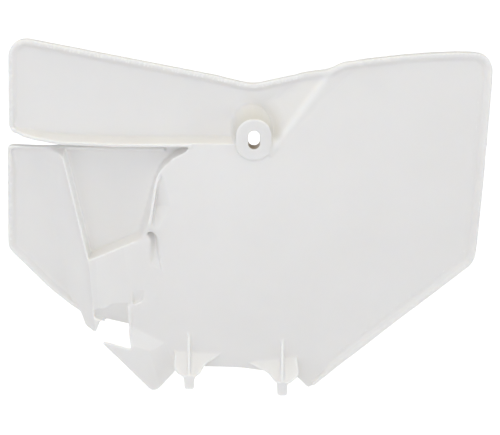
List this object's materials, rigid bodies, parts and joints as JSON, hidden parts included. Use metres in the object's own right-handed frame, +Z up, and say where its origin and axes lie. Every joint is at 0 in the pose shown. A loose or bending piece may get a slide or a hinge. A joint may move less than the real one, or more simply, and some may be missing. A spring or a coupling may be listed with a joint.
{
  "type": "racing number board",
  "caption": "Moulded side number board for a motocross bike: crowned number field, flanged arm and ridged tail with an open slot between them, fixing boss and locating tabs.",
  "frame": {"origin": "middle of the fixing slot in the plane of the boss's flat seat", "axes": "+Z up the upright board, +X to the right seen from its inner side, -Y out of the inner side toward the bike"},
  "size_m": [0.401, 0.0499, 0.3144],
  "materials": {
    "white_plastic": "satin moulded plastic"
  },
  "bodies": {
    "root": {"number_board": "white_plastic"}
  },
  "joints": []
}
